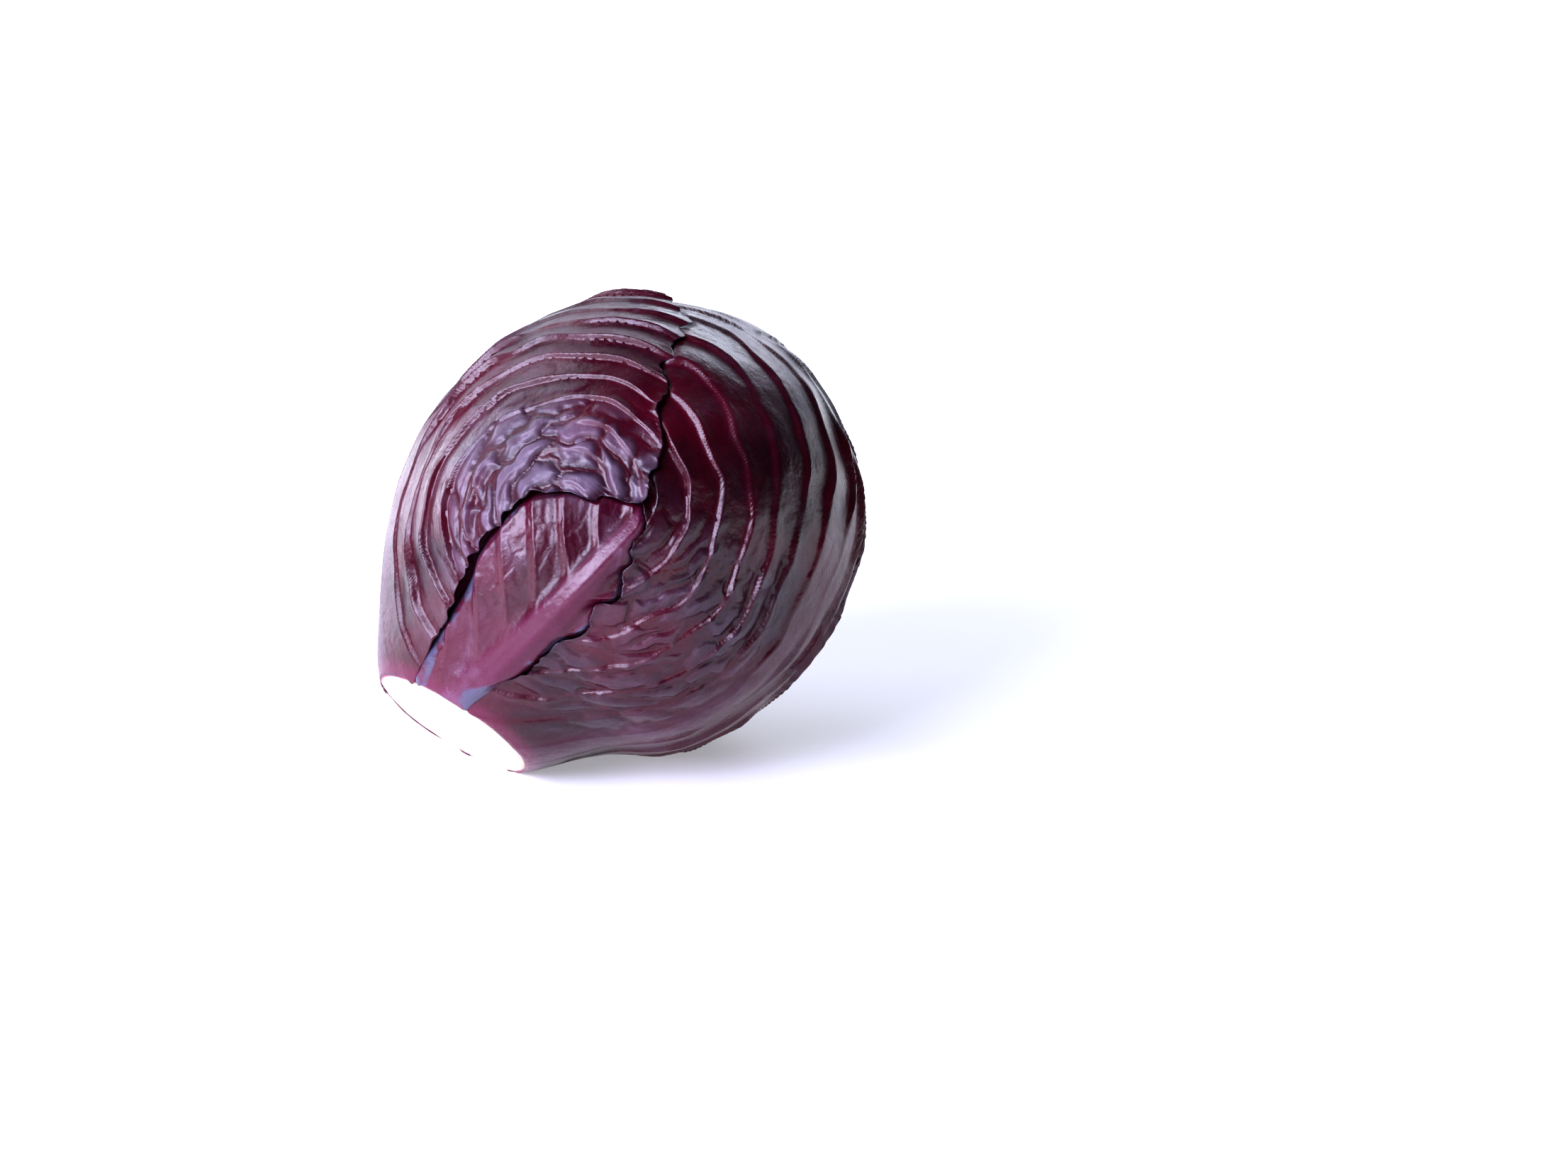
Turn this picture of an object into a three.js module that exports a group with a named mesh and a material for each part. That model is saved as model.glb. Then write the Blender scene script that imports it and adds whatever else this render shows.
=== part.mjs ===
// A whole red cabbage head, lying at rest with its cut stalk towards the lower left front.
//
// The frame is +Z up with Z = 0 on the surface that the head rests on. The origin is the
// middle of the head's bounding box, seen from above. Lengths are millimetres.
//
// Every piece is laid out on one head surface. A place on it is a latitude, in degrees from the
// stalk (0) over the girth (90) to the crown (180), and a longitude round the stalk's axis, in
// degrees from the front meridian, growing towards the right. The wrapper leaves overlap in
// levels, so each one is the same surface, set in a little further than the leaf over it.

import * as THREE from "three";

// ---------------------------------------------------------------- driving dimensions

const HEAD_CENTRE = new THREE.Vector3(1.8, 0.3, 72.4);
const STALK_DIP = 38; // degrees that the stalk points below the horizon
const STALK_TURN = 32; // degrees that it turns from -X towards -Y
const NECK_LEAN = 3.6; // degrees that the neck leans off that line, away from the right
const CUT_DIP = 42; // the two angles again, for the normal of the knife cut
const CUT_TURN = 46.5;
const CUT_DISTANCE = 87.5; // from the head's centre to the middle of the cut face

const GIRTH_RADIUS = 76;
const CROWN_EXTRA = 7; // how much longer the head is than it is wide, each way
const STALK_SHIFT = 1.5; // how much of that moves from the stalk end to the crown
const NECK_EXTRA = 19; // the cone that rises to the stalk
const NECK_WIDTH = 25; // degrees from its middle in which it falls away
const NECK_FLAT = { less: 7, longitude: 20 }; // the cone is lower on its front
const HOLLOW = { depth: 3.5, latitude: 38, longitude: 100, width: 13 }; // under the neck

const LEAF_THICKNESS = 0.9;
const LEVEL_STEP = 2.2; // from one leaf's outer face to the next one's
const FLOOR_LEVEL = 1; // the level of the leaf that the head rests on
const HEART_LEVEL = 5;
const RIM_BAND = 4; // degrees of stalk skin between the cut's rim and the leaf bases
const SEAM = 1; // degrees between the stalk's side and the leaf bases
const STALK_INNER_RADIUS = 72.5;

const LEAF_CELLS = 20; // cells across each leaf's grid
const HEART_RINGS = 16;
const HEART_SPOKES = 26;
const FACE_RINGS = 4;
const BAND_RINGS = 3;
const STALK_SPOKES = 48;

// The wrapper leaves, outermost first. middle is where the leaf's own grid is centred. base holds
// the longitudes where the leaf's two edges reach the stalk. edge goes from the first of them
// round the blade to the second, as [latitude, longitude].
const LEAVES = [
  {
    name: "left_wrapper_leaf",
    middle: [85, -75],
    base: [-36, -112],
    edge: [
      [30, -30], [38, -29], [46, -29], [54, -28], [61, -26], [68, -24], [74, -17],
      [80, -10], [86, -4], [90, 0], [95, -2], [100, -7], [106, -13], [112, -18],
      [118, -26], [124, -32], [127, -30], [131, -38], [138, -48], [144, -65],
      [147, -85], [144, -105], [136, -122], [125, -135], [112, -145], [98, -150],
      [85, -148], [72, -140], [60, -130], [48, -123], [36, -118], [27, -115],
    ],
  },
  {
    name: "right_wrapper_leaf",
    middle: [95, 62],
    base: [10, 118],
    edge: [
      [30, 13], [40, 14], [50, 15], [57, 13], [64, 11], [68, 12], [72, 8], [77, 5],
      [83, 1], [92, -10], [102, -22], [113, -34], [124, -48], [134, -66], [140, -90],
      [142, -120], [138, -150], [132, -175], [122, 172], [108, 166], [94, 164],
      [80, 166], [66, 166], [54, 160], [44, 150], [34, 136],
    ],
  },
  {
    name: "back_wrapper_leaf",
    middle: [95, -160],
    base: [-114, 152],
    edge: [
      [30, -106], [45, -108], [60, -106], [75, -98], [90, -90], [105, -84],
      [118, -76], [130, -64], [140, -48], [148, -20], [152, 20], [149, 62],
      [142, 90], [132, 106], [120, 116], [105, 120], [90, 124], [75, 128],
      [60, 136], [45, 146], [32, 152],
    ],
  },
  {
    name: "front_inner_leaf",
    middle: [75, 2],
    base: [-34, 8],
    edge: [
      [27, -42], [36, -47], [48, -50], [62, -52], [76, -53], [90, -52], [104, -50],
      [116, -42], [126, -26], [130, 0], [126, 26], [116, 42], [104, 51], [90, 54],
      [76, 53], [62, 51], [48, 48], [36, 40], [27, 26],
    ],
  },
  {
    name: "under_inner_leaf",
    middle: [75, 140],
    base: [120, 150],
    edge: [
      [27, 106], [36, 98], [48, 92], [62, 89], [76, 88], [90, 88], [104, 91],
      [116, 98], [126, 114], [130, 138], [126, 164], [116, 181], [104, 190],
      [90, 193], [76, 192], [62, 189], [48, 184], [36, 176], [27, 164],
    ],
  },
];

const COLOURS = {
  outerLeaf: { color: 0x4a0f24, roughness: 0.38 },
  innerLeaf: { color: 0x6b2546, roughness: 0.32 },
  heart: { color: 0x5a1c3a, roughness: 0.5 },
  stalk: { color: 0xf3ead0, roughness: 0.6 },
};

// ---------------------------------------------------------------- the head's surface

const radians = THREE.MathUtils.degToRad;
const degrees = THREE.MathUtils.radToDeg;

// The unit vector that dips below the horizon and turns from -X towards -Y.
function downLeft(dip, turn) {
  const flat = Math.cos(radians(dip));
  return new THREE.Vector3(
    -flat * Math.cos(radians(turn)),
    -flat * Math.sin(radians(turn)),
    -Math.sin(radians(dip)),
  );
}

const FRONT_RISE = 18; // the front meridian faces a viewer this far above the horizon
const stalkAxis = downLeft(STALK_DIP, STALK_TURN);
const cutNormal = downLeft(CUT_DIP, CUT_TURN);
const frontAxis = new THREE.Vector3(0, -Math.cos(radians(FRONT_RISE)), Math.sin(radians(FRONT_RISE)));
frontAxis.addScaledVector(stalkAxis, -frontAxis.dot(stalkAxis)).normalize();
const rightAxis = new THREE.Vector3().crossVectors(frontAxis, stalkAxis);
const neckAxis = stalkAxis
  .clone()
  .multiplyScalar(Math.cos(radians(NECK_LEAN)))
  .addScaledVector(rightAxis, -Math.sin(radians(NECK_LEAN)));

// The direction from the head's centre to a latitude and longitude.
function direction(latitude, longitude) {
  const across = Math.sin(radians(latitude));
  return new THREE.Vector3()
    .addScaledVector(stalkAxis, Math.cos(radians(latitude)))
    .addScaledVector(frontAxis, across * Math.cos(radians(longitude)))
    .addScaledVector(rightAxis, across * Math.sin(radians(longitude)));
}

const bell = (x) => Math.exp(-x * x);

// How much a direction is on the side of a longitude: 1 on it and 0 opposite.
function facing(toward, longitude) {
  const here = Math.atan2(toward.dot(rightAxis), toward.dot(frontAxis));
  return 0.5 + 0.5 * Math.cos(here - radians(longitude));
}

// The radius of the head's round body in a direction.
function bodyRadius(toward) {
  const alongStalk = toward.dot(stalkAxis);
  const fromHollow = degrees(toward.angleTo(stalkAxis)) - HOLLOW.latitude;
  return (
    GIRTH_RADIUS +
    CROWN_EXTRA * alongStalk ** 2 -
    STALK_SHIFT * alongStalk -
    HOLLOW.depth * facing(toward, HOLLOW.longitude) * bell(fromHollow / HOLLOW.width)
  );
}

// The head's radius in a direction: the body with the neck that rises to the stalk.
function headRadius(toward) {
  const neck = NECK_EXTRA - NECK_FLAT.less * facing(toward, NECK_FLAT.longitude);
  return bodyRadius(toward) + neck * bell(degrees(toward.angleTo(neckAxis)) / NECK_WIDTH);
}

// A point of the head, a depth below its surface, pressed flat where it meets what it rests on.
function headPoint(toward, depth, radius = headRadius(toward)) {
  const point = toward.clone().multiplyScalar(radius - depth).add(HEAD_CENTRE);
  point.z = Math.max(point.z, depth - FLOOR_LEVEL * LEVEL_STEP, 0);
  return point;
}

// The distance from the centre to the knife's plane in a direction.
function cutRadius(toward) {
  return (CUT_DISTANCE * neckAxis.dot(cutNormal)) / Math.max(toward.dot(cutNormal), 0.2);
}

// The latitude of the cut's rim at a longitude, found by halving.
function rimLatitude(longitude) {
  let low = 5;
  let high = 45;
  while (high - low > 0.01) {
    const middle = (low + high) / 2;
    const toward = direction(middle, longitude);
    if (headRadius(toward) > cutRadius(toward)) low = middle;
    else high = middle;
  }
  return low;
}

const baseLatitude = (longitude) => rimLatitude(longitude) + RIM_BAND;

// ---------------------------------------------------------------- meshes

// A geometry from points and triangles.
function solid(points, triangles) {
  const geometry = new THREE.BufferGeometry().setFromPoints(points);
  geometry.setIndex(triangles);
  geometry.computeVertexNormals();
  return geometry;
}

// How far a leaf reaches from its middle, in degrees, at each angle round the middle.
function leafReach(leaf) {
  const pole = direction(...leaf.middle);
  const up = stalkAxis.clone().negate();
  up.addScaledVector(pole, -up.dot(pole)).normalize();
  const side = new THREE.Vector3().crossVectors(up, pole);
  const [start, end] = leaf.base;
  const span = ((start - end + 540) % 360) - 180;
  const alongBase = [0.85, 0.5, 0.15].map((t) => {
    const longitude = end + span * t;
    return [baseLatitude(longitude), longitude];
  });
  const corners = [
    [baseLatitude(start), start],
    ...leaf.edge,
    [baseLatitude(end), end],
    ...alongBase.reverse(),
  ];
  const flat = corners.map(([latitude, longitude]) => {
    const toward = direction(latitude, longitude);
    const round = Math.atan2(toward.dot(side), toward.dot(up));
    const reach = toward.angleTo(pole);
    return new THREE.Vector3(reach * Math.sin(round), reach * Math.cos(round), 0);
  });
  const curve = new THREE.CatmullRomCurve3(flat, true, "catmullrom", 0.5);
  const samples = curve
    .getPoints(720)
    .slice(1)
    .map((p) => ({ round: Math.atan2(p.x, p.y), reach: Math.hypot(p.x, p.y) }))
    .sort((a, b) => a.round - b.round);
  return { pole, up, side, samples };
}

// The reach at one angle, between the two nearest samples.
function reachAt(samples, round) {
  const turn = 2 * Math.PI;
  const angle = ((round + Math.PI) % turn + turn) % turn - Math.PI;
  let next = samples.findIndex((s) => s.round >= angle);
  if (next < 0) next = 0;
  const a = samples[(next + samples.length - 1) % samples.length];
  const b = samples[next];
  const gap = (b.round - a.round + turn) % turn;
  const share = gap > 1e-9 ? ((angle - a.round + turn) % turn) / gap : 0;
  return a.reach + (b.reach - a.reach) * Math.min(share, 1);
}

// A square cell position as an angle and a share of the way out, so that cells stay even.
function squareToDisc(x, y) {
  if (x === 0 && y === 0) return [0, 0];
  if (Math.abs(x) > Math.abs(y)) return [(Math.PI / 4) * (y / x) + (x < 0 ? Math.PI : 0), Math.abs(x)];
  return [Math.PI / 2 - (Math.PI / 4) * (x / y) + (y < 0 ? Math.PI : 0), Math.abs(y)];
}

// One wrapper leaf: an outer and an inner sheet over the same grid, closed along the edge.
function leafGeometry(leaf, level) {
  const { pole, up, side, samples } = leafReach(leaf);
  const wide = LEAF_CELLS + 1;
  const points = [];
  for (const depth of [level * LEVEL_STEP, level * LEVEL_STEP + LEAF_THICKNESS]) {
    for (let row = 0; row < wide; row++) {
      for (let column = 0; column < wide; column++) {
        const [round, share] = squareToDisc((2 * column) / LEAF_CELLS - 1, (2 * row) / LEAF_CELLS - 1);
        const reach = share * reachAt(samples, round);
        const toward = pole
          .clone()
          .multiplyScalar(Math.cos(reach))
          .addScaledVector(side, Math.sin(reach) * Math.sin(round))
          .addScaledVector(up, Math.sin(reach) * Math.cos(round));
        points.push(headPoint(toward, depth));
      }
    }
  }
  const sheet = wide * wide;
  const at = (row, column) => row * wide + column;
  const triangles = [];
  for (let row = 0; row < LEAF_CELLS; row++) {
    for (let column = 0; column < LEAF_CELLS; column++) {
      const [a, b] = [at(row, column), at(row, column + 1)];
      const [c, d] = [at(row + 1, column + 1), at(row + 1, column)];
      triangles.push(a, c, b, a, d, c);
      triangles.push(a + sheet, b + sheet, c + sheet, a + sheet, c + sheet, d + sheet);
    }
  }
  const border = [];
  for (let i = 0; i < LEAF_CELLS; i++) border.push(at(0, i));
  for (let i = 0; i < LEAF_CELLS; i++) border.push(at(i, LEAF_CELLS));
  for (let i = LEAF_CELLS; i > 0; i--) border.push(at(LEAF_CELLS, i));
  for (let i = LEAF_CELLS; i > 0; i--) border.push(at(i, 0));
  border.forEach((a, i) => {
    const b = border[(i + 1) % border.length];
    triangles.push(a, b, b + sheet, a, b + sheet, a + sheet);
  });
  return solid(points, triangles);
}

// The closed ball of tight leaves inside the wrapper leaves.
function heartGeometry() {
  const depth = HEART_LEVEL * LEVEL_STEP;
  const inside = (latitude, longitude) => {
    const toward = direction(latitude, longitude);
    return headPoint(toward, depth, bodyRadius(toward));
  };
  const points = [inside(0, 0)];
  for (let ring = 1; ring < HEART_RINGS; ring++) {
    for (let spoke = 0; spoke < HEART_SPOKES; spoke++) {
      points.push(inside((180 * ring) / HEART_RINGS, (360 * spoke) / HEART_SPOKES));
    }
  }
  points.push(inside(180, 0));
  const crown = points.length - 1;
  const at = (ring, spoke) => 1 + (ring - 1) * HEART_SPOKES + (spoke % HEART_SPOKES);
  const triangles = [];
  for (let spoke = 0; spoke < HEART_SPOKES; spoke++) {
    triangles.push(0, at(1, spoke + 1), at(1, spoke));
    for (let ring = 1; ring < HEART_RINGS - 1; ring++) {
      const [a, b] = [at(ring, spoke), at(ring, spoke + 1)];
      const [c, d] = [at(ring + 1, spoke + 1), at(ring + 1, spoke)];
      triangles.push(a, c, d, a, b, c);
    }
    triangles.push(crown, at(HEART_RINGS - 1, spoke), at(HEART_RINGS - 1, spoke + 1));
  }
  return solid(points, triangles);
}

// The depth of the leaf that meets the stalk at a longitude.
function baseDepth(longitude) {
  const level = LEAVES.findIndex(({ base: [start, end] }) => {
    const span = (((end - start) % 360) + 360) % 360;
    const from = (((longitude - start) % 360) + 360) % 360;
    return span < 180 ? from <= span : from === 0 || from >= span;
  });
  return (level < 0 ? 0 : level) * LEVEL_STEP;
}

// The cut stub of the stalk, with the skin between the cut's rim and the leaf bases.
function stalkGeometry() {
  const outer = [];
  const inner = [];
  const rings = FACE_RINGS + BAND_RINGS;
  for (let ring = 0; ring <= rings; ring++) {
    for (let spoke = 0; spoke < (ring ? STALK_SPOKES : 1); spoke++) {
      const longitude = (360 * spoke) / STALK_SPOKES;
      const face = Math.min(ring / FACE_RINGS, 1);
      const band = Math.max(ring - FACE_RINGS, 0) / BAND_RINGS;
      const latitude = rimLatitude(longitude) * face + (RIM_BAND - SEAM) * band;
      const toward = direction(latitude, longitude);
      const skin = headRadius(toward) - baseDepth(longitude) * band;
      const out = toward.clone().multiplyScalar(Math.min(skin, cutRadius(toward))).add(HEAD_CENTRE);
      out.z = Math.max(out.z, 0);
      outer.push(out);
      inner.push(toward.clone().multiplyScalar(STALK_INNER_RADIUS).add(HEAD_CENTRE));
    }
  }
  const sheet = outer.length;
  const at = (ring, spoke) => (ring ? 1 + (ring - 1) * STALK_SPOKES + (spoke % STALK_SPOKES) : 0);
  const triangles = [];
  for (let spoke = 0; spoke < STALK_SPOKES; spoke++) {
    for (let ring = 0; ring < rings; ring++) {
      const [a, b] = [at(ring, spoke), at(ring, spoke + 1)];
      const [c, d] = [at(ring + 1, spoke + 1), at(ring + 1, spoke)];
      triangles.push(a, c, d, a + sheet, d + sheet, c + sheet);
      if (ring) triangles.push(a, b, c, a + sheet, c + sheet, b + sheet);
    }
    const [a, b] = [at(rings, spoke), at(rings, spoke + 1)];
    triangles.push(a, b + sheet, a + sheet, a, b, b + sheet);
  }
  return solid([...outer, ...inner], triangles);
}

// ---------------------------------------------------------------- the head

function piece(name, geometry, look) {
  const mesh = new THREE.Mesh(geometry, new THREE.MeshStandardMaterial({ metalness: 0, ...look }));
  mesh.name = name;
  return mesh;
}

const cabbage = new THREE.Group();
LEAVES.forEach((leaf, level) => {
  const look = leaf.name.includes("wrapper") ? COLOURS.outerLeaf : COLOURS.innerLeaf;
  cabbage.add(piece(leaf.name, leafGeometry(leaf, level), look));
});
cabbage.add(piece("heart", heartGeometry(), COLOURS.heart));
cabbage.add(piece("cut_stalk", stalkGeometry(), COLOURS.stalk));

export default cabbage;
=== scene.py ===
"""A whole red cabbage head on a white table: the looks, the light and the camera.

Every surface is laid out on one head, as in the CAD part. A place on it is a latitude from the
stalk (0 degrees) to the crown (180), and a longitude round the stalk's axis, with 0 at the front
and growing towards the right. Shapes are worked out in millimetres and built in metres.
"""

import math

import bpy
import numpy as np
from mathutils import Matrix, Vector


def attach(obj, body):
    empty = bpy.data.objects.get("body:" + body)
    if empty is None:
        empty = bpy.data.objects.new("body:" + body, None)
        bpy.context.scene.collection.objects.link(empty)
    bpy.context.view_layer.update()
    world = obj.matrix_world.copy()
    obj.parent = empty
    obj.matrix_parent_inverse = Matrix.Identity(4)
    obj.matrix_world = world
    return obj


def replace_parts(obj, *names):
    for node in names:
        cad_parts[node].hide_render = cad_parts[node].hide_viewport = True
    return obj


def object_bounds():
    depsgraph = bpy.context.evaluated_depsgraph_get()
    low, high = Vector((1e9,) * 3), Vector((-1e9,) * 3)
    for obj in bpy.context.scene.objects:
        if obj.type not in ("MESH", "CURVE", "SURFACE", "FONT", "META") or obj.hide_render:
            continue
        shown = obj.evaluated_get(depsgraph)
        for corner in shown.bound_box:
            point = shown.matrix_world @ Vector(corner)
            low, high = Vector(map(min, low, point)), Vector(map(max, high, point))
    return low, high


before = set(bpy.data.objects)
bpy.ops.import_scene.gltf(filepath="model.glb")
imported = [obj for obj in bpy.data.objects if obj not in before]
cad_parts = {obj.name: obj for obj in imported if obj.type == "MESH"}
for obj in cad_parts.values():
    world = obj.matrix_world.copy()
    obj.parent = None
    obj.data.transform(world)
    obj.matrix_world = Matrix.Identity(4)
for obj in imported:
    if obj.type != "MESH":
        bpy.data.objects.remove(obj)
cad_low, cad_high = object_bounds()

# ------------------------------------------------------------------ the head's dimensions

CENTRE = np.array(
    [
        500 * (cad_low.x + cad_high.x) + 1.7,
        500 * (cad_low.y + cad_high.y) + 0.3,
        1000 * cad_low.z + 72.4,
    ]
)
STALK_DIP, STALK_TURN = 38, 32
CUT_DIP, CUT_TURN = 42, 46.5
NECK_LEAN = 3.6
CUT_DISTANCE = 87.5
GIRTH_RADIUS = 76
CROWN_EXTRA = 7
STALK_SHIFT = 1.5
NECK_EXTRA = 19
NECK_WIDTH = 25
MM_PER_DEGREE = 1.33

LEAF_CELLS = 290
INNER_CELLS = LEAF_CELLS // 5
HEART_DEPTH = 9.0
BLADE = 0.7

# The wrapper leaves, outermost first. depth is how far the leaf lies below the head's surface
# where others cover it, and shown is the same where it comes out.
LEAVES = [
    {
        "name": "left_wrapper_leaf",
        "depth": 1.3,
        "shown": 1.3,
        "middle": (85, -75),
        "base": (-36, -112),
        "edge": [
            (30, -30), (38, -26.5), (45, -26), (51, -27), (57, -26), (63, -25), (68, -24),
            (71.5, -22), (75, -18), (78, -14), (80, -9), (82.5, -8), (85, -3), (88.5, 1),
            (91, 0), (94, -3), (97, -3.5), (100, -5.5), (104, -8), (107, -13),
            (111.5, -15), (115.5, -16.5), (118, -22), (123, -24), (126, -27), (130, -29),
            (132, -34), (137, -33), (139, -42), (142, -55), (145, -70), (147, -85),
            (144, -105), (136, -122), (125, -135), (112, -145), (98, -150), (85, -148),
            (72, -140), (60, -130), (48, -123), (36, -118), (27, -115),
        ],
    },
    {
        "name": "right_wrapper_leaf",
        "depth": 4.4,
        "shown": 1.9,
        "middle": (95, 62),
        "base": (7, 118),
        "edge": [
            (27, 7), (33.5, 11), (41, 12), (48.5, 11.5), (54, 13.5), (58.5, 13), (63, 11),
            (66, 13), (69.5, 11.5), (72.5, 8.5), (75.5, 9), (79, 6), (83, 5), (88, 0),
            (95, -12), (102, -22), (113, -34), (124, -48), (134, -66), (140, -90),
            (142, -120), (138, -150), (132, -175), (122, 172), (108, 166), (94, 164),
            (80, 166), (66, 166), (54, 160), (44, 150), (34, 136),
        ],
    },
    {
        "name": "back_wrapper_leaf",
        "depth": 5.0,
        "shown": 2.6,
        "middle": (95, -160),
        "base": (-114, 152),
        "edge": [
            (30, -106), (45, -108), (60, -106), (75, -98), (90, -90), (105, -84),
            (118, -76), (130, -64), (140, -48), (148, -20), (152, 20), (149, 62),
            (142, 90), (132, 106), (120, 116), (105, 120), (90, 124), (75, 128),
            (60, 136), (45, 146), (32, 152),
        ],
    },
    {
        "name": "front_inner_leaf",
        "depth": 6.0,
        "shown": 3.5,
        "middle": (75, 2),
        "base": (-34, 6),
        "edge": [
            (27, -42), (36, -47), (48, -50), (62, -52), (76, -53), (90, -52), (104, -50),
            (116, -42), (126, -26), (130, 0), (126, 26), (116, 42), (104, 51), (90, 54),
            (76, 53), (62, 51), (48, 48), (36, 40), (27, 26),
        ],
    },
    {
        "name": "under_inner_leaf",
        "depth": 7.0,
        "shown": 4.0,
        "middle": (75, 140),
        "base": (120, 150),
        "edge": [
            (27, 106), (36, 98), (48, 92), (62, 89), (76, 88), (90, 88), (104, 91),
            (116, 98), (126, 114), (130, 138), (126, 164), (116, 181), (104, 190),
            (90, 193), (76, 192), (62, 189), (48, 184), (36, 176), (27, 164),
        ],
    },
]

# ------------------------------------------------------------------ the head's surface


def down_left(dip, turn):
    """The unit vector that dips below the horizon and turns from -X towards -Y."""
    flat = math.cos(math.radians(dip))
    turn = math.radians(turn)
    return np.array([-flat * math.cos(turn), -flat * math.sin(turn), -math.sin(math.radians(dip))])


def unit(v):
    return v / np.linalg.norm(v, axis=-1, keepdims=True)


STALK = down_left(STALK_DIP, STALK_TURN)
CUT = down_left(CUT_DIP, CUT_TURN)
FRONT = np.array([0, -math.cos(math.radians(18)), math.sin(math.radians(18))])
FRONT = unit(FRONT - FRONT @ STALK * STALK)
RIGHT = np.cross(FRONT, STALK)
NECK = STALK * math.cos(math.radians(NECK_LEAN)) - RIGHT * math.sin(math.radians(NECK_LEAN))


def direction(latitude, longitude):
    """Unit vectors from the head's centre."""
    lat, lon = np.radians(latitude)[..., None], np.radians(longitude)[..., None]
    return np.cos(lat) * STALK + np.sin(lat) * (np.cos(lon) * FRONT + np.sin(lon) * RIGHT)


def angle_between(d, axis):
    return np.degrees(np.arccos(np.clip(d @ axis, -1, 1)))


def longitude_of(d):
    return np.degrees(np.arctan2(d @ RIGHT, d @ FRONT))


def bell(x):
    return np.exp(-x * x)


def ease(low, high, x):
    """0 below low, 1 above high, and a smooth step between."""
    t = np.clip((x - low) / (high - low), 0, 1)
    return t * t * (3 - 2 * t)


def facing(d, longitude):
    return 0.5 + 0.5 * np.cos(np.radians(longitude_of(d) - longitude))


def body_radius(d):
    along = d @ STALK
    hollow = 3.5 * facing(d, 100) * bell((angle_between(d, STALK) - 38) / 13)
    return GIRTH_RADIUS + CROWN_EXTRA * along**2 - STALK_SHIFT * along - hollow


def head_radius(d):
    neck = NECK_EXTRA - 7 * facing(d, 20)
    return body_radius(d) + neck * bell(angle_between(d, NECK) / NECK_WIDTH)


def cut_radius(d):
    return CUT_DISTANCE * (NECK @ CUT) / np.maximum(d @ CUT, 0.2)


def rim_latitude(longitude):
    """The latitude of the knife cut's rim."""
    low, high = np.full(np.shape(longitude), 5.0), np.full(np.shape(longitude), 45.0)
    for _ in range(14):
        middle = (low + high) / 2
        d = direction(middle, longitude)
        outside = head_radius(d) > cut_radius(d)
        low, high = np.where(outside, middle, low), np.where(outside, high, middle)
    return low


# ------------------------------------------------------------------ noise


LOW_BITS = np.uint64(0xFFFFFFFF)


def hashed(*whole, seed=0):
    """A repeatable number from 0 to 1 for whole-number coordinates."""
    n = np.full(np.shape(whole[0]), 374761 + 668265 * seed, np.uint64)
    for i, w in enumerate(whole):
        whole_number = w.astype(np.int64).astype(np.uint64)
        n = (n ^ (whole_number * np.uint64(2654435761 + 97531 * i))) & LOW_BITS
        n = (n ^ (n >> np.uint64(15))) * np.uint64(2246822519) & LOW_BITS
        n = (n ^ (n >> np.uint64(13))) * np.uint64(3266489917) & LOW_BITS
    return (n ^ (n >> np.uint64(16))).astype(float) / 0xFFFFFFFF


def noise(p, size, seed=0, octaves=1):
    """Smooth noise from -1 to 1 over points p, with lumps of the given size in mm."""
    total, weight = 0.0, 0.0
    for octave in range(octaves):
        q = p / size * 2**octave + 17.3 * octave
        cell = np.floor(q).astype(np.int64)
        t = q - cell
        t = t * t * t * (t * (t * 6 - 15) + 10)
        value = 0.0
        for x in (0, 1):
            for y in (0, 1):
                for z in (0, 1):
                    step = np.array([x, y, z])
                    corner = hashed(*(cell + step).T, seed=seed + octave)
                    value = value + corner * np.abs(1 - step - t).prod(1)
        total = total + (2 * value - 1) * 0.5**octave
        weight += 0.5**octave
    return total / weight


def network(x, y, seed=0):
    """How far each place is from the nearest wall of a loose net with cells about 1 across."""
    cx, cy = np.floor(x), np.floor(y)
    nearest = np.full(x.shape, 9.0)
    second = np.full(x.shape, 9.0)
    for i in (-1, 0, 1):
        for j in (-1, 0, 1):
            gx, gy = cx + i, cy + j
            px = gx + 0.12 + 0.76 * hashed(gx, gy, seed=seed)
            py = gy + 0.12 + 0.76 * hashed(gx, gy, seed=seed + 5)
            far = np.hypot(px - x, py - y)
            second = np.minimum(second, np.maximum(far, nearest))
            nearest = np.minimum(nearest, far)
    return second - nearest


# ------------------------------------------------------------------ leaf outlines


def closed_curve(points, steps=12):
    """A smooth closed curve through the points."""
    before, after = np.roll(points, 1, 0), np.roll(points, -1, 0)
    later = np.roll(points, -2, 0)
    t = (np.arange(steps) / steps)[None, :, None]
    a, b, c, d = (q[:, None, :] for q in (before, points, after, later))
    curve = 0.5 * (
        2 * b + (c - a) * t + (2 * a - 5 * b + 4 * c - d) * t**2 + (3 * b - a - 3 * c + d) * t**3
    )
    return curve.reshape(-1, 2)


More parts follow.
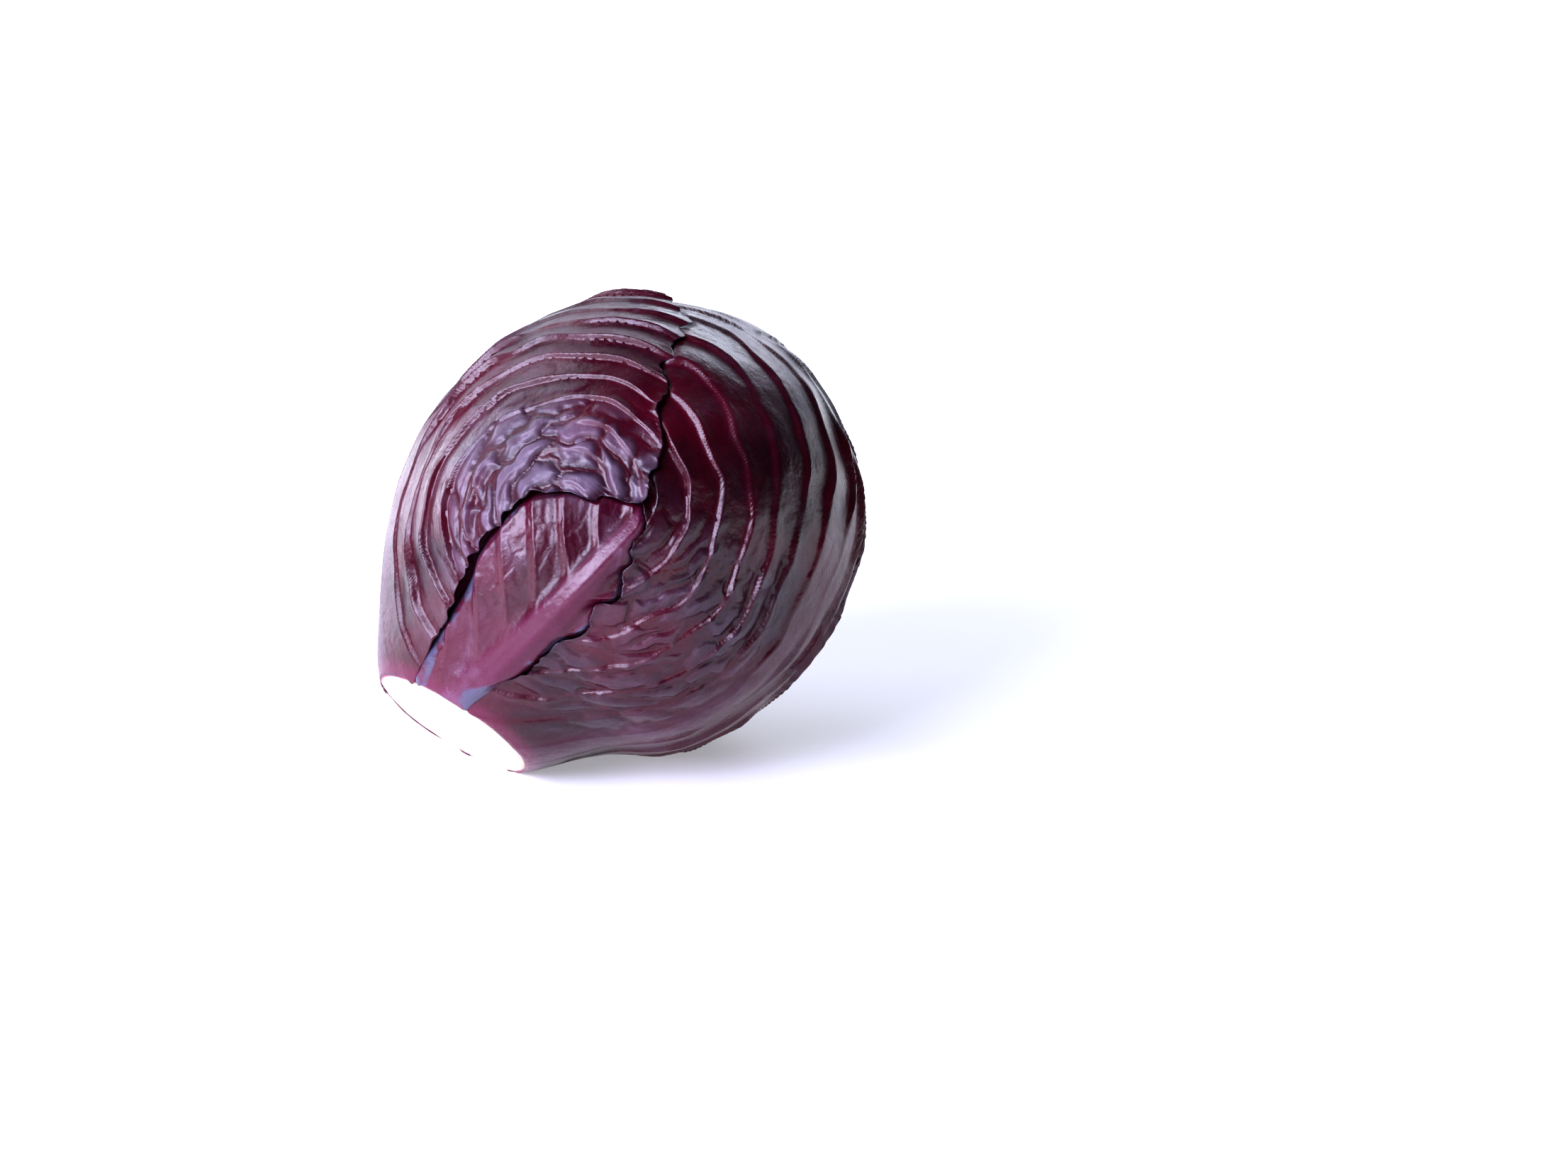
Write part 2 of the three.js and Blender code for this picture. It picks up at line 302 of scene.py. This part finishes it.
class Outline:
    """A leaf's edge, as the reach from the leaf's middle at each angle round it."""

    def __init__(self, leaf):
        self.pole = direction(*np.array(leaf["middle"], float))
        self.up = unit(-STALK + (STALK @ self.pole) * self.pole)
        self.side = np.cross(self.up, self.pole)
        start, end = leaf["base"]
        span = (start - end + 540) % 360 - 180
        base = end + span * np.array([0, 0.15, 0.5, 0.85, 1])
        base_lat = rim_latitude(base) + 0.5
        lat = np.concatenate([[a for a, _ in leaf["edge"]], base_lat])
        lon = np.concatenate([[b for _, b in leaf["edge"]], base])
        round_, reach = self.polar(direction(lat, lon))
        flat = np.stack([reach * np.sin(round_), reach * np.cos(round_)], -1)
        x, y = closed_curve(flat).T
        turns = np.arctan2(x, y)
        order = np.argsort(turns)
        self.turns, self.reaches = turns[order], np.hypot(x, y)[order]

    def polar(self, d):
        """The angle round the leaf's middle and the reach from it, in degrees."""
        return np.arctan2(d @ self.side, d @ self.up), angle_between(d, self.pole)

    def reach(self, round_):
        return np.interp(round_, self.turns, self.reaches, period=2 * math.pi)

    def share(self, d):
        """0 at the leaf's middle, 1 on its edge and more outside."""
        round_, reach = self.polar(d)
        return reach / self.reach(round_)

    def point(self, round_, reach):
        r = np.radians(reach)[..., None]
        across = np.sin(round_)[..., None] * self.side + np.cos(round_)[..., None] * self.up
        return np.cos(r) * self.pole + np.sin(r) * across


OUTLINES = [Outline(leaf) for leaf in LEAVES]

# ------------------------------------------------------------------ veins and folds


def along_rib(d, rib):
    """Degrees along a leaf's midrib from the stalk, and degrees to its right."""
    beside = direction(np.array(90.0), np.array(rib + 90.0))
    ahead = direction(np.array(90.0), np.array(float(rib)))
    along = np.degrees(np.arctan2(d @ ahead, d @ STALK))
    return along, np.degrees(np.arcsin(np.clip(d @ beside, -1, 1)))


def round_hub(d, latitude, longitude):
    """Degrees from a hub on the head, and the angle round it."""
    hub = direction(np.array(float(latitude)), np.array(float(longitude)))
    up = unit(-STALK + (STALK @ hub) * hub)
    return angle_between(d, hub), np.degrees(np.arctan2(d @ np.cross(up, hub), d @ up))


def folds(phase, spacing, steep):
    """A thin vein at each whole phase, and a slope that falls away outwards from it."""
    part = phase - np.floor(phase)
    gap = np.minimum(part, 1 - part) * spacing
    vein = bell(gap / 0.9)
    slope = (1 - part) ** steep * ease(0, 0.1, part)
    return vein, slope


def mesh_net(p, x, y, seed):
    """A puffed net: the pillows between thin veins, and the veins."""
    wander = 0.35 * noise(p, 7, seed, 2)
    wall = network(x + wander, y + 0.35 * noise(p, 7, seed + 9, 2), seed)
    return ease(0, 0.55, wall), bell(wall / 0.07)


def arched_leaf(d, p, away, arc, spacing, near, rib, seed, crest_bloom_and_highlight):
    """The relief of a leaf whose side veins arch, in mm, and the values to colour it by.

    away grows across the veins in degrees and arc along them in mm. near is 1 where the
    surface is puffed, and the last argument is how much pale colour lies on the puffed
    tops: partly a thin wax dusting and partly a painted highlight on the lit crests.
    """
    away = away + 3.4 * noise(p, 38, seed, 2) + 0.9 * noise(p, 11, seed + 1)
    phase = away / spacing + 0.45 * noise(p, 60, seed + 2)
    vein, slope = folds(phase, spacing * MM_PER_DEGREE, 1.3)
    strength = np.clip(0.62 + 0.95 * noise(p, 24, seed + 3, 2), 0.08, 1.3)
    pillow, net = mesh_net(p, phase * 1.15, arc / 17, seed + 4)
    fine_pillow, fine_net = mesh_net(p, phase * 2.4, arc / 8, seed + 5)
    v, w = along_rib(d, rib)
    middle = bell(w / (9.5 - 0.05 * v))
    smooth = 1 - 0.85 * middle
    height = smooth * (
        (1 - 0.45 * near) * strength * (0.2 * vein + 2.7 * slope)
        + (0.12 + 1.0 * near) * (1.25 * pillow + 0.25 * net)
        + (0.02 + 0.1 * near) * fine_pillow
    )
    height = height + 2.2 * middle * (1 - ease(70, 120, v)) + 0.8 * noise(p, 30, seed + 6, 2)
    lines = 0.8 * vein * strength + (0.25 + 0.6 * near) * net + 0.25 * near * fine_net
    paint = {
        "vein": np.clip(smooth * lines, 0, 1),
        "rib": middle * (1 - ease(60, 115, v)),
        # Pale colour on the puffed tops: partly wax dusting, partly a painted highlight where the
        # crests catch the light.
        "puff_bloom_and_painted_highlight": pillow * near * crest_bloom_and_highlight,
    }
    return height - 1.3, paint


def left_leaf(d, p):
    """The side veins arch over the hub where the leaf folds back from the one below."""
    away, turn = round_hub(d, 70, -16)
    arc = np.sin(np.radians(away)) * turn * MM_PER_DEGREE
    height, paint = arched_leaf(d, p, away, arc, 7.4, 1 - ease(20, 37, away), -84, 11, 0.45)
    return height + 1.5 * ease(85, 118, angle_between(d, STALK)), paint


def right_leaf(d, p):
    """The side veins climb from the midrib near the table and arch over towards the crown."""
    away, turn = round_hub(d, 78, -12)
    arc = np.sin(np.radians(away)) * turn * MM_PER_DEGREE
    near = 0.9 * (1 - ease(14, 46, round_hub(d, 64, 28)[0]))
    return arched_leaf(d, p, away, arc, 8.8, near, 62, 31, 0.12)


def straight_leaf(d, p, rib, seed):
    """A leaf whose side veins leave a thick midrib at a slant."""
    v, w = along_rib(d, rib)
    sideways = np.abs(w)
    width = 6.6 - 0.042 * v
    ridge = 1 / (1 + (w / width) ** 6)
    groove = 0.25 * bell((w + 1.2) / 1.1) + 0.18 * bell((w - 2.6) / 0.9)
    phase = (v - 1.05 * sideways + 0.006 * sideways**2 + 2.2 * noise(p, 26, seed, 2)) / 11.5
    part = phase - np.floor(phase)
    gap = np.minimum(part, 1 - part) * 11.5 * 0.7 * MM_PER_DEGREE
    vein = bell(gap / (1.5 - 0.02 * np.minimum(sideways, 40))) * (1 - 0.012 * sideways)
    pillow, net = mesh_net(p, phase * 2, w / 5.5, seed + 3)
    off = 1 - ridge
    crest = 2.6 * ridge + 2.0 * bell(w / (0.75 * width))
    height = crest * (1 - ease(78, 125, v)) - 1.3 * groove * ridge
    swell = 1.5 * (1 - part) ** 1.2 * ease(0, 0.14, part)
    height = height + off * (1.2 * vein + swell + 0.25 * pillow + 0.1 * net)
    height = height + 0.5 * noise(p, 22, seed + 6, 2)
    paint = {
        "vein": np.clip(off * (0.9 * vein + 0.3 * net), 0, 1),
        "rib": ridge * (1 - 0.5 * ease(70, 120, v)),
        "puff_bloom_and_painted_highlight": 0 * v,
    }
    return height, paint


def leaf_relief(name, d, p):
    if name == "left_wrapper_leaf":
        return left_leaf(d, p)
    if name == "right_wrapper_leaf":
        return right_leaf(d, p)
    if name == "front_inner_leaf":
        return straight_leaf(d, p, 3.5, 51)
    rib = {"back_wrapper_leaf": -162, "under_inner_leaf": 135}[name]
    return straight_leaf(d, p, rib, 71)


# ------------------------------------------------------------------ meshes


def build(name, points, faces, paint, material):
    """A piece from points in mm, quads or triangles, and named values to colour it by."""
    mesh = bpy.data.meshes.new(name)
    mesh.from_pydata((points / 1000).tolist(), [], [list(map(int, f)) for f in faces])
    for key, values in paint.items():
        layer = mesh.attributes.new(key, "FLOAT", "POINT")
        layer.data.foreach_set("value", np.asarray(values, np.float32))
    mesh.shade_smooth()
    mesh.materials.append(material)
    piece = bpy.data.objects.new(name, mesh)
    bpy.context.collection.objects.link(piece)
    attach(piece, "root")
    return piece


def square_to_disc(cells):
    """A square grid of cells as angles and shares of the way out, so that cells stay even."""
    y, x = np.meshgrid(np.linspace(-1, 1, cells + 1), np.linspace(-1, 1, cells + 1), indexing="ij")
    x, y = x.ravel(), y.ravel()
    share = np.maximum(np.abs(x), np.abs(y))
    wide = np.abs(x) > np.abs(y)
    safe_x, safe_y = np.where(x == 0, 1, x), np.where(y == 0, 1, y)
    a = math.pi / 4 * y / safe_x + np.where(x < 0, math.pi, 0)
    b = math.pi / 2 - math.pi / 4 * x / safe_y + np.where(y < 0, math.pi, 0)
    return np.where(share == 0, 0, np.where(wide, a, b)), share


def border(cells):
    """The grid's outer points in order."""
    wide = cells + 1
    one = list(range(cells))
    two = [i * wide + cells for i in range(cells)]
    three = [cells * wide + i for i in range(cells, 0, -1)]
    four = [i * wide for i in range(cells, 0, -1)]
    return np.array(one + two + three + four)


def quads(cells, flip, start=0):
    wide = cells + 1
    row, column = np.meshgrid(np.arange(cells), np.arange(cells), indexing="ij")
    a = (row * wide + column).ravel() + start
    corners = [a, a + wide, a + wide + 1, a + 1]
    return np.stack(corners[::-1] if flip else corners, -1)


def leaf_sheet(level, cells, inner):
    """The points of one face of a leaf, and the values it's coloured by."""
    leaf, outline = LEAVES[level], OUTLINES[level]
    round_, share = square_to_disc(cells)
    reach = outline.reach(round_)
    on_edge = outline.point(round_, reach)
    edge_spot = on_edge * GIRTH_RADIUS
    torn = noise(edge_spot, 4.2, 90 + level, 3) * 1.9 + noise(edge_spot, 16, 95 + level) * 1.0
    away_from_base = ease(24, 34, angle_between(on_edge, STALK))
    reach = reach + torn * away_from_base * ease(0.55, 1, share)
    d = outline.point(round_, share * reach)
    p = d * GIRTH_RADIUS
    lat = angle_between(d, STALK)
    height, paint = leaf_relief(leaf["name"], d, p)

    covered = np.full(len(d), 9.0)
    for upper in range(level):
        covered = np.minimum(covered, OUTLINES[upper].share(d))
    shown = ease(0.955, 1.03, covered) if level else np.ones(len(d))
    past_rim = lat - rim_latitude(longitude_of(d))
    near_stalk = 1 - ease(1, 11, past_rim)
    margin = (1 - share) * reach * MM_PER_DEGREE
    lip = np.exp(-margin / 2.6) * away_from_base
    ruffle = 1 + 1.6 * bell(round_hub(d, 88, -3)[0] / 8)
    crinkle = 1.5 * noise(p, 8, 120 + level, 2) + 0.5 * noise(p, 3.5, 130 + level)
    curl = ruffle * lip * (0.9 + crinkle)
    over_the_top = ease(103, 118, lat)
    sink = 1.6 * over_the_top * np.exp(-margin / 9) * away_from_base
    curl = curl * (1 - 0.9 * over_the_top) - sink
    height = height * (1 - 0.8 * near_stalk) * (0.12 + 0.88 * shown)
    depth = leaf["depth"] + (leaf["shown"] - leaf["depth"]) * shown
    depth = depth * (1 - 0.93 * near_stalk)
    height = height - depth + curl * (0.25 + 0.75 * shown)
    if level:
        height = np.minimum(height, -leaf["depth"] + 0.35 + 9 * shown)
    if inner:
        height = height - BLADE * (1 - 0.6 * lip)
    radius = np.minimum(head_radius(d) + height, cut_radius(d) + 0.2)
    points = CENTRE + radius[:, None] * d
    lowest = max(leaf["depth"] - LEAVES[1]["depth"], 0) + (BLADE if inner else 0)
    points[:, 2] = np.maximum(points[:, 2], lowest)
    paint["lip"] = np.exp(-margin / 1.3) * away_from_base
    paint["stalk"] = 1 - ease(0.5, 6, past_rim)
    # A narrow glossy strip on the front leaf just outside the upper leaves' edges, painted with a
    # bluish reflection of the light.
    strip = 1.012 + 0.035 * noise(p, 12, 140 + level, 2) + 0.03 * (1 - ease(28, 40, lat))
    wet_and_painted_reflection = ease(0.97, 1.0, covered) * (1 - ease(strip, strip + 0.01, covered)) * (1 - ease(64, 74, lat))
    paint["wet_and_painted_reflection"] = wet_and_painted_reflection if level == 3 else 0 * share
    return points, paint


def make_leaf(level, material, slot):
    """A leaf: a fine outer face, a plainer inner face and the thin edge that joins them."""
    cells, coarse = LEAF_CELLS, INNER_CELLS
    outer, paint = leaf_sheet(level, cells, False)
    inner, inner_paint = leaf_sheet(level, coarse, True)
    count = len(outer)
    faces = [quads(cells, False), quads(coarse, True, count)]
    fine_border, coarse_border = border(cells), border(coarse) + count
    step = cells // coarse
    joins = []
    for i, low in enumerate(coarse_border):
        high = coarse_border[(i + 1) % len(coarse_border)]
        for j in range(step):
            a = fine_border[i * step + j]
            b = fine_border[(i * step + j + 1) % len(fine_border)]
            joins.append((a, b, low if j < step // 2 else high))
        turn = fine_border[(i * step + step // 2) % len(fine_border)]
        joins.append((turn, high, low))
    points = np.concatenate([outer, inner])
    both = {key: np.concatenate([paint[key], inner_paint[key]]) for key in paint}
    every = [*faces[0], *faces[1], *joins]
    return build(LEAVES[level]["name"] + "_skin", points, every, both, material)


def lathe_faces(rings, spokes, flip=False):
    """Faces between rings of points that all have the same number of spokes."""
    faces = []
    for ring in range(rings - 1):
        for spoke in range(spokes):
            a = ring * spokes + spoke
            b = ring * spokes + (spoke + 1) % spokes
            face = (a, b, b + spokes, a + spokes)
            faces.append(face[::-1] if flip else face)
    return faces


def make_heart(material):
    rings, spokes = 90, 120
    lat = np.repeat(np.linspace(0.5, 179.5, rings), spokes)
    lon = np.tile(np.arange(spokes) * 360 / spokes, rings)
    d = direction(lat, lon)
    p = d * GIRTH_RADIUS
    radius = body_radius(d) - HEART_DEPTH + 0.5 * noise(p, 20, 3, 2)
    points = CENTRE + radius[:, None] * d
    points[:, 2] = np.maximum(points[:, 2], HEART_DEPTH)
    faces = lathe_faces(rings, spokes)
    faces.append(tuple(range(spokes))[::-1])
    faces.append(tuple(range((rings - 1) * spokes, rings * spokes)))
    paint = {key: np.zeros(len(p)) for key in ("vein", "rib", "puff_bloom_and_painted_highlight", "lip", "stalk", "wet_and_painted_reflection")}
    return build("heart_skin", points, faces, paint, material)


def make_stalk(material):
    """The stub: the slanting cut face, the magenta skin below its rim, and a closed inside."""
    spokes = 240
    face_shares = np.concatenate([np.linspace(0.02, 0.96, 44), [0.975, 0.988, 1.0]])
    band = np.linspace(0.12, 3.6, 14)
    lon = np.arange(spokes) * 360 / spokes
    rim = rim_latitude(lon)
    lat = np.concatenate([rim * share for share in face_shares] + [rim + b for b in band])
    every_lon = np.tile(lon, len(face_shares) + len(band))
    d = direction(lat, every_lon)
    p = d * GIRTH_RADIUS
    out = np.repeat(np.concatenate([face_shares, np.full(len(band), 1.0)]), spokes)
    side = np.repeat(np.concatenate([np.zeros(len(face_shares)), band]), spokes)
    skin = head_radius(d)
    radius = np.minimum(skin, cut_radius(d))
    on_face = 1 - ease(0, 0.5, side)
    knife_marks = 0.25 * noise(p, 12, 5, 2) + 0.12 * noise(p, 4, 6, 2) - 0.5 * ease(0.93, 1, out)
    skin_fold = 0.3 * noise(p, 7, 7, 2) - 4.0 * ease(0.1, 3.0, side)
    radius = radius + on_face * knife_marks + (1 - on_face) * skin_fold
    points = CENTRE + radius[:, None] * d
    points[:, 2] = np.maximum(points[:, 2], 0.1)
    inner = CENTRE + (radius[-spokes:, None] - 7) * d[-spokes:]
    inner[:, 2] = np.maximum(inner[:, 2], 2)
    count = len(face_shares) + len(band)
    points = np.concatenate([points, inner])
    faces = lathe_faces(count + 1, spokes)
    faces.append(tuple(range(spokes))[::-1])
    faces.append(tuple(range(count * spokes, (count + 1) * spokes)))
    last = np.zeros(spokes)
    paint = {
        "rim": np.concatenate([np.where(side > 0, 1 + side, out), last + 5]),
        "petiole": np.concatenate([facing(d, 80) ** 6 * ease(0.55, 0.8, out), last]),
    }
    return build("cut_stalk_skin", points, faces, paint, material)


# ------------------------------------------------------------------ materials


class Nodes:
    """A short way to build a material's nodes."""

    def __init__(self, name):
        self.material = bpy.data.materials.new(name)
        self.material.use_nodes = True
        self.tree = self.material.node_tree
        self.shader = self.tree.nodes["Principled BSDF"]

    def add(self, kind, **inputs):
        node = self.tree.nodes.new(kind)
        for key, value in inputs.items():
            self.set(node.inputs[key.replace("_", " ")], value)
        return node

    def set(self, socket, value):
        if isinstance(value, bpy.types.NodeSocket):
            self.tree.links.new(value, socket)
        else:
            socket.default_value = value

    def value(self, name):
        node = self.add("ShaderNodeAttribute")
        node.attribute_name = name
        return node.outputs["Fac"]

    def noise(self, scale, detail=4, stretch=None, roughness=0.55):
        place = self.add("ShaderNodeTexCoord").outputs["Object"]
        if stretch:
            mapped = self.add("ShaderNodeMapping", Vector=place)
            mapped.inputs["Rotation"].default_value = stretch[0]
            mapped.inputs["Scale"].default_value = stretch[1]
            place = mapped.outputs["Vector"]
        node = self.add("ShaderNodeTexNoise", Vector=place, Scale=scale)
        node.inputs["Detail"].default_value = detail
        node.inputs["Roughness"].default_value = roughness
        return node.outputs["Fac"]

    def span(self, value, low, high, to_low=0.0, to_high=1.0):
        node = self.add("ShaderNodeMapRange")
        node.interpolation_type = "SMOOTHSTEP"
        self.set(node.inputs["Value"], value)
        ends = {"From Min": low, "From Max": high, "To Min": to_low, "To Max": to_high}
        for key, number in ends.items():
            node.inputs[key].default_value = number
        return node.outputs["Result"]

    def math(self, operation, a, b):
        node = self.add("ShaderNodeMath")
        node.operation = operation
        self.set(node.inputs[0], a)
        self.set(node.inputs[1], b)
        return node.outputs[0]

    def mix(self, share, a, b):
        node = self.add("ShaderNodeMix")
        node.data_type = "RGBA"
        self.set(node.inputs[0], share)
        for socket, value in ((node.inputs[6], a), (node.inputs[7], b)):
            self.set(socket, value if isinstance(value, bpy.types.NodeSocket) else (*value, 1))
        return node.outputs[2]

    def bump(self, height, strength, distance, under=None):
        node = self.add("ShaderNodeBump", Strength=strength, Distance=distance, Height=height)
        if under is not None:
            self.set(node.inputs["Normal"], under)
        return node.outputs["Normal"]


def leaf_material(name, skin, warm, rib, bloom_and_highlight_colour, bloom_amount):
    """Waxy leaf skin: dark with warmer patches, pinkish ribs and a thin pale wax dusting. The same
    pale colour is laid on the puffed tops as a painted highlight, and the glossy strips carry a
    painted bluish reflection.
    """
    n = Nodes(name)
    patches = n.span(n.noise(26, 5), 0.38, 0.66)
    colour = n.mix(patches, skin, warm)
    colour = n.mix(n.span(n.value("rib"), 0.25, 1.0, 0, 0.65), colour, rib)
    colour = n.mix(n.span(n.value("stalk"), 0.1, 1.0, 0, 0.6), colour, (0.17, 0.010, 0.055))
    dust = n.span(n.noise(60, 9, roughness=0.7), 0.42, 0.72)
    wide_dust = n.span(n.noise(15, 3), 0.38, 0.68)
    scratch = n.span(n.noise(60, 4, ((0.4, 0.7, 0.5), (1, 9, 1))), 0.58, 0.72)
    bloom_and_painted_highlight = n.math("MULTIPLY", n.math("ADD", dust, scratch), wide_dust)
    bloom_and_painted_highlight = n.math("MULTIPLY", bloom_and_painted_highlight, bloom_amount)
    # The puffed tops get the pale colour too: a painted highlight on the lit crests, on top of the
    # real wax dusting.
    bloom_and_painted_highlight = n.math("ADD", bloom_and_painted_highlight, n.math("MULTIPLY", n.value("puff_bloom_and_painted_highlight"), 0.7))
    bloom_and_painted_highlight = n.math("MINIMUM", bloom_and_painted_highlight, 0.7)
    colour = n.mix(bloom_and_painted_highlight, colour, bloom_and_highlight_colour)
    colour = n.mix(n.math("MULTIPLY", n.value("vein"), 0.6), colour, (0.085, 0.002, 0.014))
    colour = n.mix(n.span(n.value("lip"), 0.35, 1, 0, 0.5), colour, (0.03, 0.012, 0.03))
    # The glossy strips are painted bluish silver as a painted reflection of the light, and made
    # smoother below.
    wet_and_painted_reflection = n.math("MULTIPLY", n.value("wet_and_painted_reflection"), n.span(n.noise(110, 4), 0.40, 0.52))
    colour = n.mix(n.math("MULTIPLY", wet_and_painted_reflection, 0.8), colour, (0.09, 0.10, 0.16))
    n.set(n.shader.inputs["Base Color"], colour)
    rough = n.span(n.noise(70, 8, roughness=0.65), 0.35, 0.65, 0.20, 0.37)
    rough = n.math("ADD", rough, n.math("MULTIPLY", bloom_and_painted_highlight, 0.35))
    rough = n.math("MAXIMUM", n.math("SUBTRACT", rough, n.math("MULTIPLY", wet_and_painted_reflection, 0.28)), 0.07)
    n.set(n.shader.inputs["Roughness"], rough)
    n.set(n.shader.inputs["IOR"], 1.42)
    n.set(n.shader.inputs["Coat Weight"], 0.2)
    n.set(n.shader.inputs["Coat Roughness"], 0.3)
    fine = n.bump(n.noise(130, 3), 0.5, 0.0012)
    fine = n.bump(n.noise(380, 7, roughness=0.65), 0.3, 0.0008, fine)
    n.set(n.shader.inputs["Normal"], fine)
    return n.material


def stalk_material():
    """Moist cream flesh with a magenta skin round it and a greener leaf stem at one side."""
    n = Nodes("cut_flesh")
    place = n.value("rim")
    grain = n.noise(90, 6)
    cream = n.mix(n.span(grain, 0.35, 0.7), (0.58, 0.52, 0.38), (0.62, 0.57, 0.44))
    stem = n.mix(n.span(n.noise(60, 4), 0.45, 0.6), (0.62, 0.66, 0.44), (0.66, 0.46, 0.42))
    cream = n.mix(n.math("MULTIPLY", n.value("petiole"), 0.55), cream, stem)
    edge = n.span(n.math("ADD", place, n.math("MULTIPLY", grain, 0.05)), 0.99, 1.04)
    skin = n.mix(n.span(n.noise(120, 5), 0.35, 0.65), (0.16, 0.010, 0.05), (0.30, 0.05, 0.14))
    dark = n.mix(n.span(place, 1.6, 3.4), skin, (0.10, 0.012, 0.04))
    n.set(n.shader.inputs["Base Color"], n.mix(edge, cream, dark))
    n.set(n.shader.inputs["Roughness"], n.span(grain, 0.3, 0.7, 0.38, 0.55))
    n.set(n.shader.inputs["Subsurface Weight"], 0.1)
    n.set(n.shader.inputs["Subsurface Scale"], 0.004)
    n.set(n.shader.inputs["Normal"], n.bump(n.noise(700, 5), 0.15, 0.0004))
    return n.material


OUTER = leaf_material(
    "outer_leaf",
    skin=(0.020, 0.0006, 0.005),
    warm=(0.066, 0.0012, 0.010),
    rib=(0.07, 0.004, 0.024),
    bloom_and_highlight_colour=(0.30, 0.22, 0.33),
    bloom_amount=0.12,
)
INNER = leaf_material(
    "inner_leaf",
    skin=(0.045, 0.0015, 0.011),
    warm=(0.095, 0.004, 0.024),
    rib=(0.12, 0.010, 0.045),
    bloom_and_highlight_colour=(0.29, 0.19, 0.31),
    bloom_amount=0.36,
)
HEART = leaf_material(
    "heart_leaf",
    skin=(0.03, 0.004, 0.012),
    warm=(0.05, 0.008, 0.02),
    rib=(0.1, 0.02, 0.05),
    bloom_and_highlight_colour=(0.16, 0.10, 0.16),
    bloom_amount=0.2,
)

SLOTS = {
    "left_wrapper_leaf": (OUTER, "outer_leaf"),
    "right_wrapper_leaf": (OUTER, "outer_leaf"),
    "back_wrapper_leaf": (OUTER, "outer_leaf"),
    "front_inner_leaf": (INNER, "inner_leaf"),
    "under_inner_leaf": (INNER, "inner_leaf"),
}
for level, leaf in enumerate(LEAVES):
    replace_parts(make_leaf(level, *SLOTS[leaf["name"]]), leaf["name"])
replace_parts(make_heart(HEART), "heart")
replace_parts(make_stalk(stalk_material()), "cut_stalk")

# ------------------------------------------------------------------ table, light and camera

floor_mesh = bpy.data.meshes.new("floor")
floor_mesh.from_pydata([(-9, -9, 0), (9, -9, 0), (9, 9, 0), (-9, 9, 0)], [], [(0, 1, 2, 3)])
floor = bpy.data.objects.new("floor", floor_mesh)
bpy.context.collection.objects.link(floor)
table = Nodes("white_table")
table.set(table.shader.inputs["Base Color"], (0.90, 0.90, 0.93, 1))
table.set(table.shader.inputs["Roughness"], 0.6)
table.set(table.shader.inputs["Specular IOR Level"], 0.2)
table.set(table.shader.inputs["Emission Color"], (0.93, 0.95, 1.0, 1))
reach = table.add("ShaderNodeVectorMath", Vector=table.add("ShaderNodeTexCoord").outputs["Object"])
reach.operation = "LENGTH"
# The table glows more with distance, in metres, so that it runs out to plain white.
glow = table.span(reach.outputs["Value"], 0.13, 0.7, 0.32, 1.3)
table.set(table.shader.inputs["Emission Strength"], glow)
floor_mesh.materials.append(table.material)


def softbox(name, place, wide, tall, watts, colour):
    """A rectangular light that faces the head."""
    lamp = bpy.data.lights.new(name, "AREA")
    lamp.shape = "RECTANGLE"
    lamp.size, lamp.size_y = wide, tall
    lamp.energy = watts
    lamp.color = colour
    holder = bpy.data.objects.new(name, lamp)
    holder.location = place
    aim = np.array([0, 0, 0.08]) - np.array(place)
    holder.rotation_euler = Vector(aim).to_track_quat("-Z", "Y").to_euler()
    bpy.context.collection.objects.link(holder)


softbox("key", (-0.75, 0.45, 0.95), 0.9, 0.7, 5, (0.80, 0.83, 1.0))
softbox("back", (0.35, 1.0, 0.6), 0.7, 0.4, 3, (0.80, 0.84, 1.0))
softbox("left", (-1.1, 0.75, 0.32), 0.6, 0.6, 8, (0.76, 0.79, 1.0))
softbox("front_left", (-0.72, -0.70, 0.60), 0.75, 0.6, 25, (0.74, 0.73, 1.0))

world = bpy.data.worlds.new("studio")
bpy.context.scene.world = world
world.use_nodes = True
tree = world.node_tree
sky = tree.nodes["Background"]
sky.inputs["Color"].default_value = (0.78, 0.82, 1.0, 1)
place = tree.nodes.new("ShaderNodeTexCoord")
split = tree.nodes.new("ShaderNodeSeparateXYZ")
ramp = tree.nodes.new("ShaderNodeMapRange")
ramp.interpolation_type = "SMOOTHSTEP"
for key, number in (("From Min", 0.3), ("From Max", 1.0), ("To Min", 0.02), ("To Max", 1.2)):
    ramp.inputs[key].default_value = number
tree.links.new(place.outputs["Generated"], split.inputs[0])
tree.links.new(split.outputs["Y"], ramp.inputs["Value"])
tree.links.new(ramp.outputs["Result"], sky.inputs["Strength"])
bpy.context.scene.view_settings.view_transform = "Standard"
bpy.context.scene.view_settings.look = "Medium High Contrast"

# The camera looks 18 degrees down along +Y. The head sits left of and above the frame's middle.
elevation = math.radians(18)
across = np.array([1, 0, 0])
upward = np.array([0, math.sin(elevation), math.cos(elevation)])
forward = np.array([0, math.cos(elevation), -math.sin(elevation)])
spot = CENTRE / 1000 - 1.1 * forward + 0.0527 * across - 0.0178 * upward
camera = bpy.data.objects.new("camera", bpy.data.cameras.new("camera"))
camera.location = spot
camera.rotation_euler = (math.pi / 2 - elevation, 0, 0)
camera.data.lens = 75.9
camera.data.sensor_width = 36
bpy.context.collection.objects.link(camera)
bpy.context.scene.camera = camera
